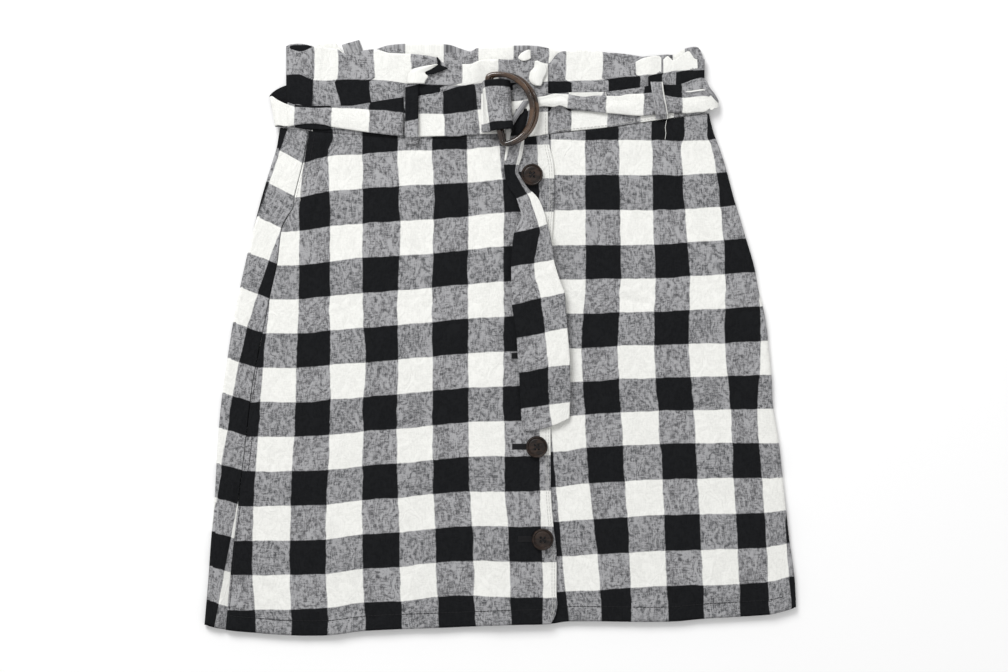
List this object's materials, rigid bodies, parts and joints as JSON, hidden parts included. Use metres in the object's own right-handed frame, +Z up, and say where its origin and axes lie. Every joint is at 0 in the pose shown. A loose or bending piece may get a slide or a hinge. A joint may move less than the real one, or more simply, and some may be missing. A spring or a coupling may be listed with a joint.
{
  "type": "a-line skirt",
  "caption": "Button-front A-line skirt in black and white gingham, laid flat, with frilled waistband, self belt threaded through D-rings, belt loops, side pocket and side vent.",
  "frame": {"origin": "middle of the skirt's outline seen from above, on the surface it lies on", "axes": "+Z up out of the surface, +Y towards the waist, +X to the wearer's left as the front faces up"},
  "size_m": [0.4888, 0.4924, 0.0211],
  "materials": {
    "gingham_cloth": "black and white gingham in crinkled linen and cotton, plain weave, matt",
    "tortoiseshell_ring": "brown tortoiseshell resin, polished",
    "horn_button": "dark brown imitation horn, satin"
  },
  "bodies": {
    "root": {"back_panel": "gingham_cloth", "front_left_panel": "gingham_cloth", "front_right_panel": "gingham_cloth", "pocket_bag_left": "gingham_cloth", "waistband_back": "gingham_cloth", "waistband_front_left": "gingham_cloth", "waistband_front_right": "gingham_cloth", "belt_left": "gingham_cloth", "belt_turn_left": "gingham_cloth", "belt_back": "gingham_cloth", "belt_open": "gingham_cloth", "belt_carrier": "gingham_cloth", "belt_right": "gingham_cloth", "belt_turn_right": "gingham_cloth", "belt_tail": "gingham_cloth", "belt_loop_front_left": "gingham_cloth", "belt_loop_front_right": "gingham_cloth", "belt_loop_back_right": "gingham_cloth", "belt_loop_back_left": "gingham_cloth", "d_ring_lower": "tortoiseshell_ring", "d_ring_upper": "tortoiseshell_ring", "button_1": "horn_button", "button_2": "horn_button", "button_3": "horn_button", "button_4": "horn_button", "button_5": "horn_button"}
  },
  "joints": []
}
